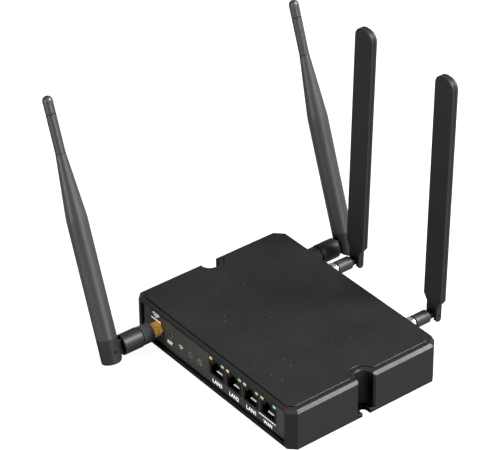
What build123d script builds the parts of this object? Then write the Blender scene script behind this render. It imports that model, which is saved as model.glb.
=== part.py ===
"""Wireless router with four swivelling antennas.

Millimetres, +Z up.  X runs along the port panel, left to right as seen from the front, and Y runs
from the front (port) panel at -Y to the rear panel at +Y.  The origin is the centre of the
underside of the case, on the surface that the router stands on.
"""
from build123d import *
from math import sqrt
import os

os.makedirs("parts", exist_ok=True)

# ---------------------------------------------------------------- case
body_width = 165.0          # X
body_depth = 120.4          # Y
body_height = 29.5          # Z
corner_cut = 4.9            # 45 degree facet at each upright corner, along either side
bevel_run = 2.1             # bevel round the top of the sides and facets: inwards
bevel_drop = 1.9            # ... and downwards
side_wall = 2.5
top_wall = 2.4
base_thickness = 2.7
fit_gap = 0.15              # gap round pieces that drop into each other
raised_inset = 2.8          # the middle of the top stands a little above the border round it
raised_height = 0.85
raised_edge = 0.3

# end panels, held in grooves behind the mouth of the cover
mouth_post = 2.6            # face of the cover between a corner facet and the mouth
panel_recess = 2.0
panel_thickness = 1.5
panel_grip = 1.7            # how far a panel's side edges reach into the cover
panel_tuck = 0.8            # how far its top and bottom edges reach into cover and base
panel_rib = 1.3             # cover wall behind the groove

# upright pocket in the middle of each side, over a slotted screw tab of the base plate
pocket_radius = 6.2
pocket_depth = 9.0
pocket_wall = 1.8
pocket_flare = 1.2          # 45 degree flare at the pocket's mouth
pocket_rim = 0.7            # bevel round the pocket's top edge
pocket_border = 3.6         # from the pocket's wall to the raised middle
tab_slot_width = 6.1
tab_slot_length = 6.1       # from the outside wall to the end of the slot

# screws
case_screw_radius = 1.5
case_screw_head = 2.9
case_screw_length = 12.0
case_screw_inset = (6.9, 14.0)
screw_cross = (3.2, 0.7)    # arms of the cross recess: across both, and wide
screw_cross_depth = 0.9
boss_radius = 3.1

# ---------------------------------------------------------------- board and ports
board_top = 10.2
board_thickness = 1.6
board_gap = 1.0             # board edge to the nearest wall
board_post_radius = 3.0
board_screw_radius = 1.4
board_screw_head = 2.7
board_screw_head_height = 1.8
board_post_inset = (5.0, 22.0)

port_count = 4
port_pitch = 17.5
first_port_x = 4.0
jack_width = 16.0
jack_height = 13.6
jack_depth = 18.0
jack_gap = 0.2              # panel opening round a jack
plug_width = 11.8           # the socket that the network plug enters
plug_height = 7.2
plug_depth = 13.0
plug_floor = 1.2            # jack floor under the plug
latch_width = 6.2           # two steps above the plug for its latch
latch_step = 1.9
latch_tip_width = 3.4
latch_tip_step = 1.5
contact_count = 8
contact_pitch = 1.02
contact_width = 0.45
contact_thickness = 0.3
contact_rise = 2.3          # from the plug's floor to the contacts' high end
port_light_size = (2.9, 2.3)
port_light_offset = (6.1, 1.6)   # from the jack's middle, and below its top
port_light_length = 12.0
contact_setback = 3.0       # contacts' front ends behind the panel's face
transformer_size = (16.0, 7.5, 4.2)
transformer_gap = 2.25      # behind the jacks

status_light_x = (-34.0, -24.0, -14.0)
status_light_z = 12.2
status_light_radius = 1.5
status_light_length = 7.0
status_led_size = (3.0, 1.6, 3.2)

reset_x = -45.7
reset_z = 15.6
reset_cap_radius = 1.4
reset_clearance = 0.2
reset_sink = 0.4            # cap below the panel's face
reset_travel = 0.5
reset_collar_radius = 2.3
reset_collar_thickness = 0.8
reset_stem_length = 5.2     # collar to the end of the stem
reset_entry = 0.3           # stem inside the switch at rest
reset_edge = 0.3
reset_switch_size = (6.0, 4.0, 8.4)

# rear panel
sim_x = -8.0
sim_tray_size = (15.0, 27.0, 1.4)
sim_clearance = 0.2
sim_holder_wall = 1.0
sim_flange = (18.0, 1.2, 3.6)
sim_flange_round = 1.2
sim_card_size = (12.0, 15.0, 0.76)
sim_card_margin = 2.0       # tray's inner end to the card
sim_card_corner = 2.0
sim_lift = 0.9              # tray above the board
power_x = 17.0
power_z = 16.0
power_size = (10.0, 14.0)
power_top = 5.6             # body above the middle of the socket
power_nose_radius = 4.3
power_bore_radius = 2.75
power_bore_depth = 9.5
power_pin_radius = 1.0
power_pin_setback = 1.0     # pin's rounded end inside the mouth of the bore
power_pin_round = 0.4
capacitor_radius = 3.2
capacitor_height = 8.0
capacitor_round = 0.5
capacitors_at = ((0.0, 11.0), (9.0, 11.0), (9.0, 1.0))    # from the middle of the inductor
inductor_at = (12.0, 19.0)
inductor_size = (8.0, 8.0, 4.0)
inductor_round = 1.5

# ---------------------------------------------------------------- antenna sockets
socket_z = body_height / 2
front_socket_x = -58.0
rear_socket_x = -57.5
paddle_socket_x = (-37.4, 41.5)
thread_radius = 3.15
thread_length = 8.5         # outside the panel
thread_gap = 0.05           # radial, nut on thread and stem in nut
socket_flange_radius = 4.2
socket_flange_thickness = 2.0
socket_tail_radius = 1.6
socket_tail_length = 6.0
socket_bore_radius = 0.65
socket_bore_depth = 4.0
socket_hole_gap = 0.1
nut_flats = 8.6
nut_height = 2.0
nut_edge = 0.25
washer_radius = 5.2
washer_thickness = 0.5
washer_tooth = (1.6, 0.9)   # long and wide, round the washer's edge
washer_teeth = 12

# ---------------------------------------------------------------- antennas, shared
coupling_start = 2.4        # from the panel's face
coupling_flats = 8.6
coupling_edge = 0.3
stem_radius = 2.2
stem_collar_step = 0.15     # collar narrower than the thread, so that the nut passes over it
stem_collar_thickness = 1.0
stem_gap = 0.3              # socket's end to the stem, and collar to nut

# whip antennas
whip_reach = 39.7           # panel face to the fold axis
whip_length = 174.0         # fold axis to the tip
whip_lean = -18.55          # degrees about +Y, both whips lean to the left
whip_radius = 7.0
coupling_hex_length = 5.2
coupling_neck_radius = 4.2
whip_coupling_end = 16.2    # from the panel's face
grip_radius = 6.6
grip_edge = 0.5
grip_flutes = 28
grip_flute_radius = 0.35
sleeve_gap = 0.3            # coupling to sleeve
sleeve_edge = 0.4
whip_shoulder = 8.6         # sleeve's end to the fold axis
whip_tail = 8.0             # base below the fold axis
tongue_radius = 5.0
tongue_thickness = 6.0
tongue_gap = 0.15           # each side, in the fork
tongue_end_gap = 0.3
whip_pin_radius = 1.0
pin_gap = 0.05              # radial, in the tongue
pin_recess = 0.7            # pin end below the fork's side
fork_top = 9.0              # top of the whip's base above the fold axis
fork_edge = 0.8
fork_round = 0.5            # how much less than half the slot's width rounds its end
seam_edge = 0.3             # bevel either side of a seam between two mouldings
radome_wall = 1.3
radome_spigot = 7.0
spigot_gap = 0.05
cone_start = 82.0           # from the tip: where the thick part ends
cone_end = 38.0             # ... and where the thin part begins
cone_blend = 45.0           # radius of the bends at both ends of the cone
radome_line = (0.25, 0.5)   # fine groove where the thin part begins: deep and wide
thin_radius = 3.4
tip_length = 12.0
tip_groove = 0.45
tip_groove_width = 0.9
tip_spigot = 3.0
tip_flat = 0.2              # radius left flat at the very end
element_radius = 0.8
element_sleeve_radius = 2.2
element_sleeve_length = 38.0
element_end_gap = 5.0       # below the tip piece

# paddle antennas
paddle_reach = 33.8
paddle_length = 181.0
paddle_lean = (2.1, 1.4)
paddle_width = 16.8
paddle_thickness = 5.2
paddle_edge = 0.9
paddle_foot = 7.7           # blade's lower end above the fold axis
paddle_taper = (3.7, 5.2)   # cut of the blade's lower corners, across and up
paddle_taper_round = 8.0
paddle_top_round = 7.0
paddle_seam = 0.25          # bevel either side of the seam between the two shells
paddle_wall = 1.1
paddle_coupling_end = 15.4
paddle_neck_length = 1.0
paddle_neck_step = 0.4      # neck narrower than the hexagon, all round
barrel_radius = 4.6
barrel_shoulder = 6.2       # barrel's end to the fold axis
ear_width = 10.0
ear_thickness = 4.4
ear_tail = 4.8
ear_gap_width = 4.8
ear_round = 2.0
paddle_tongue_radius = 2.1
paddle_pin_radius = 0.8
paddle_pin_recess = 0.4
paddle_board_size = (11.0, 150.0, 0.8)
paddle_board_start = 6.0    # above the blade's foot

# ---------------------------------------------------------------- worked-out places
half_width = body_width / 2
half_depth = body_depth / 2
ceiling = body_height - top_wall
panel_face = half_depth - panel_recess
panel_back = panel_face - panel_thickness
mouth_half = half_width - corner_cut - mouth_post
groove_width = panel_thickness + fit_gap
cavity_half_width = half_width - side_wall
cavity_half_depth = panel_face - groove_width - panel_rib
pocket_centre = half_width - pocket_depth + pocket_radius
tab_slot_centre = half_width - tab_slot_length + tab_slot_width / 2
board_bottom = board_top - board_thickness
board_half_width = half_width - pocket_depth - pocket_wall - board_gap
board_half_depth = cavity_half_depth - board_gap
ports_x = [first_port_x + i * port_pitch for i in range(port_count)]
port_light_z = board_top + jack_height - port_light_offset[1]
screw_places = [
    (sx * (half_width - case_screw_inset[0]), sy * (half_depth - case_screw_inset[1]))
    for sx in (-1, 1) for sy in (-1, 1)
]
post_places = [
    (sx * (board_half_width - board_post_inset[0]), sy * (board_half_depth - board_post_inset[1]))
    for sx in (-1, 1) for sy in (-1, 1)
]


def panel_plane(x, side):
    """Plane on a panel's outer face at an antenna socket, facing out. side is -1 front, 1 rear."""
    return Plane(origin=(x, side * panel_face, socket_z), x_dir=(1, 0, 0), z_dir=(0, side, 0))


def fold_place(x, side, reach, lean):
    """Place of an antenna's fold axis; in that place +Y points back at the router."""
    turn = Rotation(0, 0, 0) if side < 0 else Rotation(0, 0, 180)
    return Location((x, side * (panel_face + reach), socket_z)) * Rotation(0, lean, 0) * turn


def notch_outline(centre, radius, flare=0.0, reach=1.0):
    """U-shaped outline at the +X side, round inside and ending reach outside it, and its mirror image."""
    mouth = half_width + reach
    with BuildSketch() as outline:
        with Locations((centre, 0)):
            Circle(radius)
        with Locations(((centre + mouth) / 2, 0)):
            Rectangle(mouth - centre, 2 * radius)
        if flare:
            wide = radius + flare + reach
            with BuildLine():
                Polyline((half_width - flare, radius), (mouth, wide), (mouth, -wide),
                         (half_width - flare, -radius), close=True)
            make_face()
        with Locations((mouth / 2, 0)):
            Rectangle(mouth, body_depth, mode=Mode.INTERSECT)
        mirror(about=Plane.YZ)
    return outline.sketch


front_socket = panel_plane(front_socket_x, -1)
rear_sockets = [panel_plane(x, 1) for x in (rear_socket_x, *paddle_socket_x)]
all_sockets = [front_socket, *rear_sockets]

# ---------------------------------------------------------------- top cover
pocket_outline = notch_outline(pocket_centre, pocket_radius, pocket_flare)

with BuildPart() as top_cover:
    with BuildSketch() as cover_outline:
        Rectangle(body_width, body_depth)
        chamfer(cover_outline.vertices(), corner_cut)
    extrude(amount=body_height)
    top_face = top_cover.faces().sort_by(Axis.Z)[-1]
    bevel_edges = [e for e in top_face.edges() if abs(e.tangent_at(0.5).X) < 0.9]
    chamfer(bevel_edges, bevel_run, bevel_drop, reference=top_face)
    with BuildSketch():
        Rectangle(2 * cavity_half_width, 2 * cavity_half_depth)
        Rectangle(2 * mouth_half, body_depth + 2)
    extrude(amount=ceiling, mode=Mode.SUBTRACT)
    with BuildSketch():
        with GridLocations(0, 2 * panel_face - groove_width, 1, 2):
            Rectangle(2 * (mouth_half + panel_grip), groove_width)
    extrude(amount=ceiling + panel_tuck, mode=Mode.SUBTRACT)
    with BuildSketch(Plane.XY.offset(base_thickness + fit_gap)):
        add(notch_outline(pocket_centre, pocket_radius + pocket_wall, reach=-side_wall / 2))
        with Locations(*screw_places):
            Circle(boss_radius)
    extrude(amount=ceiling - base_thickness - fit_gap)
    with BuildSketch():
        add(pocket_outline)
    extrude(amount=body_height, mode=Mode.SUBTRACT)
    with Locations(*[(s * pocket_centre, 0, body_height - pocket_rim) for s in (-1, 1)]):
        Cone(pocket_radius, pocket_radius + pocket_rim, pocket_rim,
             align=(Align.CENTER, Align.CENTER, Align.MIN), mode=Mode.SUBTRACT)
    with BuildSketch(Plane.XY.offset(base_thickness + fit_gap)):
        with Locations(*screw_places):
            Circle(case_screw_radius)
    extrude(amount=case_screw_length, mode=Mode.SUBTRACT)
    with BuildSketch(Plane.XY.offset(body_height)) as raised_outline:
        facet = corner_cut + (sqrt(2) - 1) * bevel_run - (2 - sqrt(2)) * raised_inset
        Rectangle(body_width - 2 * (bevel_run + raised_inset), body_depth - 2 * raised_inset)
        chamfer(raised_outline.vertices(), facet)
        with GridLocations(2 * pocket_centre, 0, 2, 1):
            Circle(pocket_radius + pocket_border, mode=Mode.SUBTRACT)
    extrude(amount=raised_height)
    chamfer(top_cover.faces().sort_by(Axis.Z)[-1].edges(), raised_edge)
top_cover.part.label = "top_cover"
export_step(top_cover.part, "parts/top_cover.step")

# ---------------------------------------------------------------- base plate
underside = Plane(origin=(0, 0, 0), x_dir=(1, 0, 0), z_dir=(0, 0, -1))

with BuildPart() as base_plate:
    with BuildSketch() as plate_outline:
        Rectangle(2 * (cavity_half_width - fit_gap), 2 * (cavity_half_depth - fit_gap))
        Rectangle(2 * (mouth_half - fit_gap), body_depth)
        add(notch_outline(pocket_centre, pocket_radius - fit_gap, pocket_flare, reach=0.0))
    extrude(amount=base_thickness)
    with BuildSketch():
        add(notch_outline(tab_slot_centre, tab_slot_width / 2))
    extrude(amount=base_thickness, mode=Mode.SUBTRACT)
    with BuildSketch(Plane.XY.offset(base_thickness - panel_tuck)):
        with GridLocations(0, 2 * panel_face - groove_width, 1, 2):
            Rectangle(body_width, groove_width)
    extrude(amount=panel_tuck, mode=Mode.SUBTRACT)
    with BuildSketch(Plane.XY.offset(base_thickness)):
        with Locations(*post_places):
            Circle(board_post_radius)
    extrude(amount=board_bottom - base_thickness)
    with BuildSketch(Plane.XY.offset(base_thickness)):
        with Locations(*post_places):
            Circle(board_screw_radius)
    extrude(amount=board_bottom - base_thickness, mode=Mode.SUBTRACT)
    with Locations(underside):
        with Locations(*screw_places):
            CounterSinkHole(case_screw_radius + fit_gap, case_screw_head + fit_gap)
base_plate.part.label = "base_plate"
export_step(base_plate.part, "parts/base_plate.step")

# ---------------------------------------------------------------- front panel
panel_low = base_thickness - panel_tuck + fit_gap
panel_high = ceiling + panel_tuck - fit_gap
panel_size = (2 * (mouth_half + panel_grip - fit_gap), panel_high - panel_low)
socket_hole = thread_radius + socket_hole_gap
jack_mid_z = board_top + jack_height / 2

with BuildPart() as front_panel:
    with BuildSketch(Plane.XZ.offset(panel_back)):
        with Locations((0, (panel_low + panel_high) / 2)):
            Rectangle(*panel_size)
        with Locations(*[(x, jack_mid_z) for x in ports_x]):
            Rectangle(jack_width + 2 * jack_gap, jack_height + 2 * jack_gap, mode=Mode.SUBTRACT)
        with Locations((front_socket_x, socket_z)):
            Circle(socket_hole, mode=Mode.SUBTRACT)
        with Locations(*[(x, status_light_z) for x in status_light_x]):
            Circle(status_light_radius, mode=Mode.SUBTRACT)
        with Locations((reset_x, reset_z)):
            Circle(reset_cap_radius + reset_clearance, mode=Mode.SUBTRACT)
    extrude(amount=panel_thickness)
front_panel.part.label = "front_panel"
export_step(front_panel.part, "parts/front_panel.step")

# ---------------------------------------------------------------- rear panel
sim_z = board_top + sim_lift + sim_tray_size[2] / 2

with BuildPart() as rear_panel:
    with BuildSketch(Plane.XZ.offset(-panel_face)):
        with Locations((0, (panel_low + panel_high) / 2)):
            Rectangle(*panel_size)
        with Locations(*[(x, socket_z) for x in (rear_socket_x, *paddle_socket_x)]):
            Circle(socket_hole, mode=Mode.SUBTRACT)
        with Locations((sim_x, sim_z)):
            Rectangle(sim_tray_size[0] + 2 * sim_clearance, sim_tray_size[2] + 2 * sim_clearance,
                      mode=Mode.SUBTRACT)
        with Locations((power_x, power_z)):
            Circle(power_nose_radius + jack_gap, mode=Mode.SUBTRACT)
    extrude(amount=panel_thickness)
rear_panel.part.label = "rear_panel"
export_step(rear_panel.part, "parts/rear_panel.step")

# ---------------------------------------------------------------- case screws
with BuildPart() as case_screw:
    with BuildSketch(Plane.XZ) as screw_profile:
        with BuildLine():
            neck = case_screw_head - case_screw_radius
            Polyline((0, 0), (case_screw_head, 0), (case_screw_radius, neck),
                     (case_screw_radius, case_screw_length), (0, case_screw_length), close=True)
        make_face()
    revolve(axis=Axis.Z)
    with BuildSketch():
        Rectangle(*screw_cross)
        Rectangle(*screw_cross[::-1])
    extrude(amount=screw_cross_depth, mode=Mode.SUBTRACT)

with BuildPart() as case_screws:
    with Locations(*screw_places):
        add(case_screw.part)
case_screws.part.label = "case_screws"
export_step(case_screws.part, "parts/case_screws.step")

# ---------------------------------------------------------------- main board
with BuildPart() as main_board:
    with BuildSketch(Plane.XY.offset(board_bottom)):
        Rectangle(2 * board_half_width, 2 * board_half_depth)
        with Locations(*post_places):
            Circle(board_screw_radius + fit_gap, mode=Mode.SUBTRACT)
    extrude(amount=board_thickness)
main_board.part.label = "main_board"
export_step(main_board.part, "parts/main_board.step")

with BuildPart() as board_screw:
    with BuildSketch(Plane.XY.offset(board_top)):
        Circle(board_screw_head)
    extrude(amount=board_screw_head_height)
    fillet(board_screw.faces().sort_by(Axis.Z)[-1].edges(), board_screw_head_height / 2)
    with BuildSketch(Plane.XY.offset(base_thickness + fit_gap)):
        Circle(board_screw_radius)
    extrude(amount=board_top - base_thickness - fit_gap)
    with BuildSketch(Plane.XY.offset(board_top + board_screw_head_height)):
        Rectangle(*screw_cross)
        Rectangle(*screw_cross[::-1])
    extrude(amount=-screw_cross_depth, mode=Mode.SUBTRACT)

with BuildPart() as board_screws:
    with Locations(*post_places):
        add(board_screw.part)
board_screws.part.label = "board_screws"
export_step(board_screws.part, "parts/board_screws.step")

# ---------------------------------------------------------------- network jacks
plug_low = board_top + plug_floor
plug_high = plug_low + plug_height
jack_front = Plane.XZ.offset(panel_face)

with BuildPart() as lan_jacks:
    with BuildSketch(jack_front):
        with Locations(*[(x, jack_mid_z) for x in ports_x]):
            Rectangle(jack_width, jack_height)
    extrude(amount=-jack_depth)
    with BuildSketch(jack_front):
        for x in ports_x:
            with Locations((x, plug_low + plug_height / 2)):
                Rectangle(plug_width, plug_height)
            with Locations((x, plug_high + latch_step / 2)):
                Rectangle(latch_width, latch_step)
            with Locations((x, plug_high + latch_step + latch_tip_step / 2)):
                Rectangle(latch_tip_width, latch_tip_step)
    extrude(amount=-plug_depth, mode=Mode.SUBTRACT)
    with BuildSketch(jack_front):
        with Locations(*[(x + side * port_light_offset[0], port_light_z)
                         for x in ports_x for side in (-1, 1)]):
            Rectangle(*port_light_size)
    extrude(amount=-port_light_length, mode=Mode.SUBTRACT)
lan_jacks.part.label = "lan_jacks"
export_step(lan_jacks.part, "parts/lan_jacks.step")

# spring contacts: each rises from the jack's floor near the front to its back wall
contact_front = -panel_face + contact_setback
contact_back = -panel_face + plug_depth
contact_high = plug_low + contact_rise
with BuildPart() as jack_contacts:
    for x in ports_x:
        for i in range(contact_count):
            contact_x = x + (i - (contact_count - 1) / 2) * contact_pitch
            with BuildSketch(Plane.YZ.offset(contact_x - contact_width / 2)):
                with BuildLine():
                    Polyline((contact_front, plug_low), (contact_front + contact_thickness, plug_low),
                             (contact_back, contact_high), (contact_back, contact_high + contact_thickness),
                             (contact_front, plug_low + 2 * contact_thickness), close=True)
                make_face()
            extrude(amount=contact_width)
jack_contacts.part.label = "jack_contacts"
export_step(jack_contacts.part, "parts/jack_contacts.step")

for colour, side in (("yellow", -1), ("green", 1)):
    with BuildPart() as jack_lights:
        with BuildSketch(jack_front):
            with Locations(*[(x + side * port_light_offset[0], port_light_z) for x in ports_x]):
                Rectangle(*port_light_size)
        extrude(amount=-port_light_length)
    jack_lights.part.label = f"jack_lights_{colour}"
    export_step(jack_lights.part, f"parts/jack_lights_{colour}.step")

with BuildPart() as line_transformers:
    with BuildSketch(Plane.XY.offset(board_top)):
        with GridLocations(2 * port_pitch, 0, 2, 1):
            with Locations(((ports_x[0] + ports_x[-1]) / 2,
                            -panel_face + jack_depth + transformer_gap + transformer_size[1] / 2)):
                Rectangle(*transformer_size[:2])
    extrude(amount=transformer_size[2])
line_transformers.part.label = "line_transformers"
export_step(line_transformers.part, "parts/line_transformers.step")

# ---------------------------------------------------------------- status lights and reset button
with BuildPart() as light_pipes:
    with BuildSketch(jack_front):
        with Locations(*[(x, status_light_z) for x in status_light_x]):
            Circle(status_light_radius)
    extrude(amount=-status_light_length)
light_pipes.part.label = "light_pipes"
export_step(light_pipes.part, "parts/light_pipes.step")

led_y = -panel_face + status_light_length + status_led_size[1] / 2 + fit_gap
with BuildPart() as status_leds:
    with BuildSketch(Plane.XY.offset(board_top)):
        with Locations(*[(x, led_y) for x in status_light_x]):
            Rectangle(*status_led_size[:2])
    extrude(amount=status_led_size[2])
status_leds.part.label = "status_leds"
export_step(status_leds.part, "parts/status_leds.step")

reset_axis = Plane(origin=(reset_x, -panel_face, reset_z), x_dir=(1, 0, 0), z_dir=(0, 1, 0))
collar_start = panel_thickness
stem_end = collar_start + reset_collar_thickness + reset_stem_length
switch_front = stem_end - reset_entry

with BuildPart() as reset_button:
    with BuildSketch(reset_axis.offset(reset_sink)):
        Circle(reset_cap_radius)
    extrude(amount=stem_end - reset_sink)
    fillet(reset_button.faces().sort_by(Axis.Y)[0].edges(), reset_edge)
    with BuildSketch(reset_axis.offset(collar_start)):
        Circle(reset_collar_radius)
    extrude(amount=reset_collar_thickness)
reset_button.part.label = "reset_button"
export_step(reset_button.part, "parts/reset_button.step")

switch_width, switch_depth, switch_height = reset_switch_size
with BuildPart() as reset_switch:
    with BuildSketch(Plane.XY.offset(board_top)):
        with Locations((reset_x, -panel_face + switch_front + switch_depth / 2)):
            Rectangle(switch_width, switch_depth)
    extrude(amount=switch_height)
    with BuildSketch(reset_axis.offset(switch_front)):
        Circle(reset_cap_radius + 2 * reset_clearance)
    extrude(amount=reset_entry + reset_travel + 4 * reset_clearance, mode=Mode.SUBTRACT)
reset_switch.part.label = "reset_switch"
export_step(reset_switch.part, "parts/reset_switch.step")

# ---------------------------------------------------------------- card tray and its holder
tray_width, tray_length, tray_thickness = sim_tray_size
tray_low = sim_z - tray_thickness / 2
tray_end = panel_face - tray_length
card_width, card_length, card_thickness = sim_card_size
card_mid = (sim_x, tray_end + sim_card_margin + card_length / 2)

with BuildPart() as sim_tray:
    with BuildSketch(Plane.XY.offset(tray_low)):
        with Locations((sim_x, (panel_face + tray_end) / 2)):
            Rectangle(tray_width, tray_length)
    extrude(amount=tray_thickness)
    with BuildSketch(Plane.XZ.offset(-panel_face)):
        with Locations((sim_x, sim_z)):
            RectangleRounded(sim_flange[0], sim_flange[2], sim_flange_round)
    extrude(amount=-sim_flange[1])
    with BuildSketch(Plane.XY.offset(tray_low + tray_thickness)):
        with Locations(card_mid):
            Rectangle(card_width + 2 * fit_gap, card_length + 2 * fit_gap)
    extrude(amount=-card_thickness, mode=Mode.SUBTRACT)
sim_tray.part.label = "sim_tray"
export_step(sim_tray.part, "parts/sim_tray.step")

with BuildPart() as sim_card:
    with BuildSketch(Plane.XY.offset(tray_low + tray_thickness - card_thickness)) as card_face:
        with Locations(card_mid):
            Rectangle(card_width, card_length)
        chamfer(card_face.vertices().sort_by(Axis.X)[-1], sim_card_corner)
    extrude(amount=card_thickness)
sim_card.part.label = "sim_card"
export_step(sim_card.part, "parts/sim_card.step")

holder_high = sim_z + tray_thickness / 2 + sim_clearance + sim_holder_wall
holder_back = tray_end - sim_clearance - sim_holder_wall
holder_front = panel_back - board_gap
with BuildPart() as sim_holder:
    with BuildSketch(Plane.XY.offset(board_top)):
        with Locations((sim_x, (holder_back + holder_front) / 2)):
            Rectangle(tray_width + 2 * (sim_clearance + sim_holder_wall), holder_front - holder_back)
    extrude(amount=holder_high - board_top)
    with BuildSketch(Plane.XY.offset(tray_low - sim_clearance)):
        with Locations((sim_x, (tray_end - sim_clearance + holder_front) / 2)):
            Rectangle(tray_width + 2 * sim_clearance, holder_front - tray_end + sim_clearance)
    extrude(amount=tray_thickness + 2 * sim_clearance, mode=Mode.SUBTRACT)
sim_holder.part.label = "sim_holder"
export_step(sim_holder.part, "parts/sim_holder.step")

# ---------------------------------------------------------------- power inlet
power_axis = Plane(origin=(power_x, panel_face, power_z), x_dir=(1, 0, 0), z_dir=(0, -1, 0))
with BuildPart() as power_socket:
    with BuildSketch(Plane.XY.offset(board_top)):
        with Locations((power_x, panel_back - fit_gap - power_size[1] / 2)):
            Rectangle(*power_size)
    extrude(amount=power_z + power_top - board_top)
    with BuildSketch(power_axis):
        Circle(power_nose_radius)
    extrude(amount=panel_thickness + fit_gap)
    with BuildSketch(power_axis):
        Circle(power_bore_radius)
    extrude(amount=power_bore_depth, mode=Mode.SUBTRACT)
power_socket.part.label = "power_socket"
export_step(power_socket.part, "parts/power_socket.step")

with BuildPart() as power_pin:
    with BuildSketch(power_axis.offset(power_pin_setback)):
        Circle(power_pin_radius)
    extrude(amount=power_bore_depth - power_pin_setback)
    fillet(power_pin.faces().sort_by(Axis.Y)[-1].edges(), power_pin_round)
power_pin.part.label = "power_pin"
export_step(power_pin.part, "parts/power_pin.step")

with BuildPart() as power_filter:
    with BuildSketch(Plane.XY.offset(board_top)):
        with Locations(inductor_at):
            with Locations(*capacitors_at):
                Circle(capacitor_radius)
    extrude(amount=capacitor_height)
    fillet(power_filter.faces().group_by(Axis.Z)[-1].edges(), capacitor_round)
    with BuildSketch(Plane.XY.offset(board_top)):
        with Locations(inductor_at):
            RectangleRounded(*inductor_size[:2], inductor_round)
    extrude(amount=inductor_size[2])
power_filter.part.label = "power_filter"
export_step(power_filter.part, "parts/power_filter.step")

# ---------------------------------------------------------------- processor, memory and radios
processor_at = (-8.0, -8.0)
processor_size = (15.0, 15.0, 1.5)
memory_size = (8.0, 11.0, 1.1)
memory_from_processor = ((-22.0, 6.0), (-22.0, -8.0))
sink_side = 20.0
sink_base = 1.8
fin_count = 7
fin_pitch = 3.2
fin_size = (0.8, 6.0)
with BuildPart() as board_chips:
    with BuildSketch(Plane.XY.offset(board_top)):
        with Locations(processor_at):
            Rectangle(*processor_size[:2])
    extrude(amount=processor_size[2])
    with BuildSketch(Plane.XY.offset(board_top)):
        with Locations(processor_at):
            with Locations(*memory_from_processor):
                Rectangle(*memory_size[:2])
    extrude(amount=memory_size[2])
board_chips.part.label = "board_chips"
export_step(board_chips.part, "parts/board_chips.step")

sink_low = board_top + processor_size[2]
with BuildPart() as heat_sink:
    with BuildSketch(Plane.XY.offset(sink_low)):
        with Locations(processor_at):
            Rectangle(sink_side, sink_side)
    extrude(amount=sink_base)
    with BuildSketch(Plane.XY.offset(sink_low + sink_base)):
        with Locations(processor_at):
            with GridLocations(fin_pitch, 0, fin_count, 1):
                Rectangle(fin_size[0], sink_side)
    extrude(amount=fin_size[1])
heat_sink.part.label = "heat_sink"
export_step(heat_sink.part, "parts/heat_sink.step")

radio_at = (-55.0, 0.0)
radio_size = (20.0, 26.0, 3.0)
shield_round = 1.0
with BuildPart() as radio_shield:
    with BuildSketch(Plane.XY.offset(board_top)):
        with Locations(radio_at):
            RectangleRounded(*radio_size[:2], shield_round)
    extrude(amount=radio_size[2])
radio_shield.part.label = "radio_shield"
export_step(radio_shield.part, "parts/radio_shield.step")

modem_at = (46.0, 6.0)
modem_size = (30.0, 51.0, 1.0)
modem_lift = 5.0
modem_shield = (27.0, 33.0, 2.2)
modem_shield_shift = 1.0    # from the card's middle towards the rear
socket_length = 8.0
socket_overlap = 5.0        # card inside its socket
socket_lip = 1.2            # socket above the card
modem_top = board_top + modem_lift + modem_size[2]
with BuildPart() as card_socket:
    with BuildSketch(Plane.XY.offset(board_top)):
        with Locations((modem_at[0], modem_at[1] - modem_size[1] / 2 + socket_overlap - socket_length / 2)):
            Rectangle(modem_size[0], socket_length)
    extrude(amount=modem_lift + modem_size[2] + socket_lip)
    with BuildSketch(Plane.XY.offset(board_top + modem_lift)):
        with Locations(modem_at):
            Rectangle(*modem_size[:2])
    extrude(amount=modem_size[2], mode=Mode.SUBTRACT)
card_socket.part.label = "card_socket"
export_step(card_socket.part, "parts/card_socket.step")

with BuildPart() as modem_card:
    with BuildSketch(Plane.XY.offset(board_top + modem_lift)):
        with Locations(modem_at):
            Rectangle(*modem_size[:2])
    extrude(amount=modem_size[2])
    with BuildSketch(Plane.XY.offset(modem_top)):
        with Locations((modem_at[0], modem_at[1] + modem_shield_shift)):
            RectangleRounded(*modem_shield[:2], shield_round)
    extrude(amount=modem_shield[2])
modem_card.part.label = "modem_card"
export_step(modem_card.part, "parts/modem_card.step")

# ---------------------------------------------------------------- antenna sockets
flange_face = -panel_thickness - washer_thickness
with BuildPart() as antenna_socket:
    with BuildSketch(Plane.XZ):
        with BuildLine():
            Polyline((0, flange_face - socket_flange_thickness - socket_tail_length),
                     (socket_tail_radius, flange_face - socket_flange_thickness - socket_tail_length),
                     (socket_tail_radius, flange_face - socket_flange_thickness),
                     (socket_flange_radius, flange_face - socket_flange_thickness),
                     (socket_flange_radius, flange_face), (thread_radius, flange_face),
                     (thread_radius, thread_length), (socket_bore_radius, thread_length),
                     (socket_bore_radius, thread_length - socket_bore_depth),
                     (0, thread_length - socket_bore_depth), close=True)
        make_face()
    revolve(axis=Axis.Z)

with BuildPart() as antenna_sockets:
    with Locations(*all_sockets):
        add(antenna_socket.part)
antenna_sockets.part.label = "antenna_sockets"
export_step(antenna_sockets.part, "parts/antenna_sockets.step")

with BuildPart() as socket_nut:
    with BuildSketch():
        RegularPolygon(nut_flats / 2, 6, major_radius=False)
    extrude(amount=nut_height)
    chamfer(socket_nut.edges().filter_by(Plane.XY), nut_edge)
    with BuildSketch():
        Circle(thread_radius + thread_gap)
    extrude(amount=nut_height, mode=Mode.SUBTRACT)

with BuildPart() as socket_nuts:
    with Locations(*all_sockets):
        add(socket_nut.part)
socket_nuts.part.label = "socket_nuts"
export_step(socket_nuts.part, "parts/socket_nuts.step")

with BuildPart() as socket_washer:
    with BuildSketch(Plane.XY.offset(flange_face)):
        Circle(washer_radius - washer_tooth[0] / 2)
        with PolarLocations(washer_radius - washer_tooth[0] / 2, washer_teeth):
            Rectangle(*washer_tooth)
        Circle(socket_hole, mode=Mode.SUBTRACT)
    extrude(amount=washer_thickness)

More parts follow.
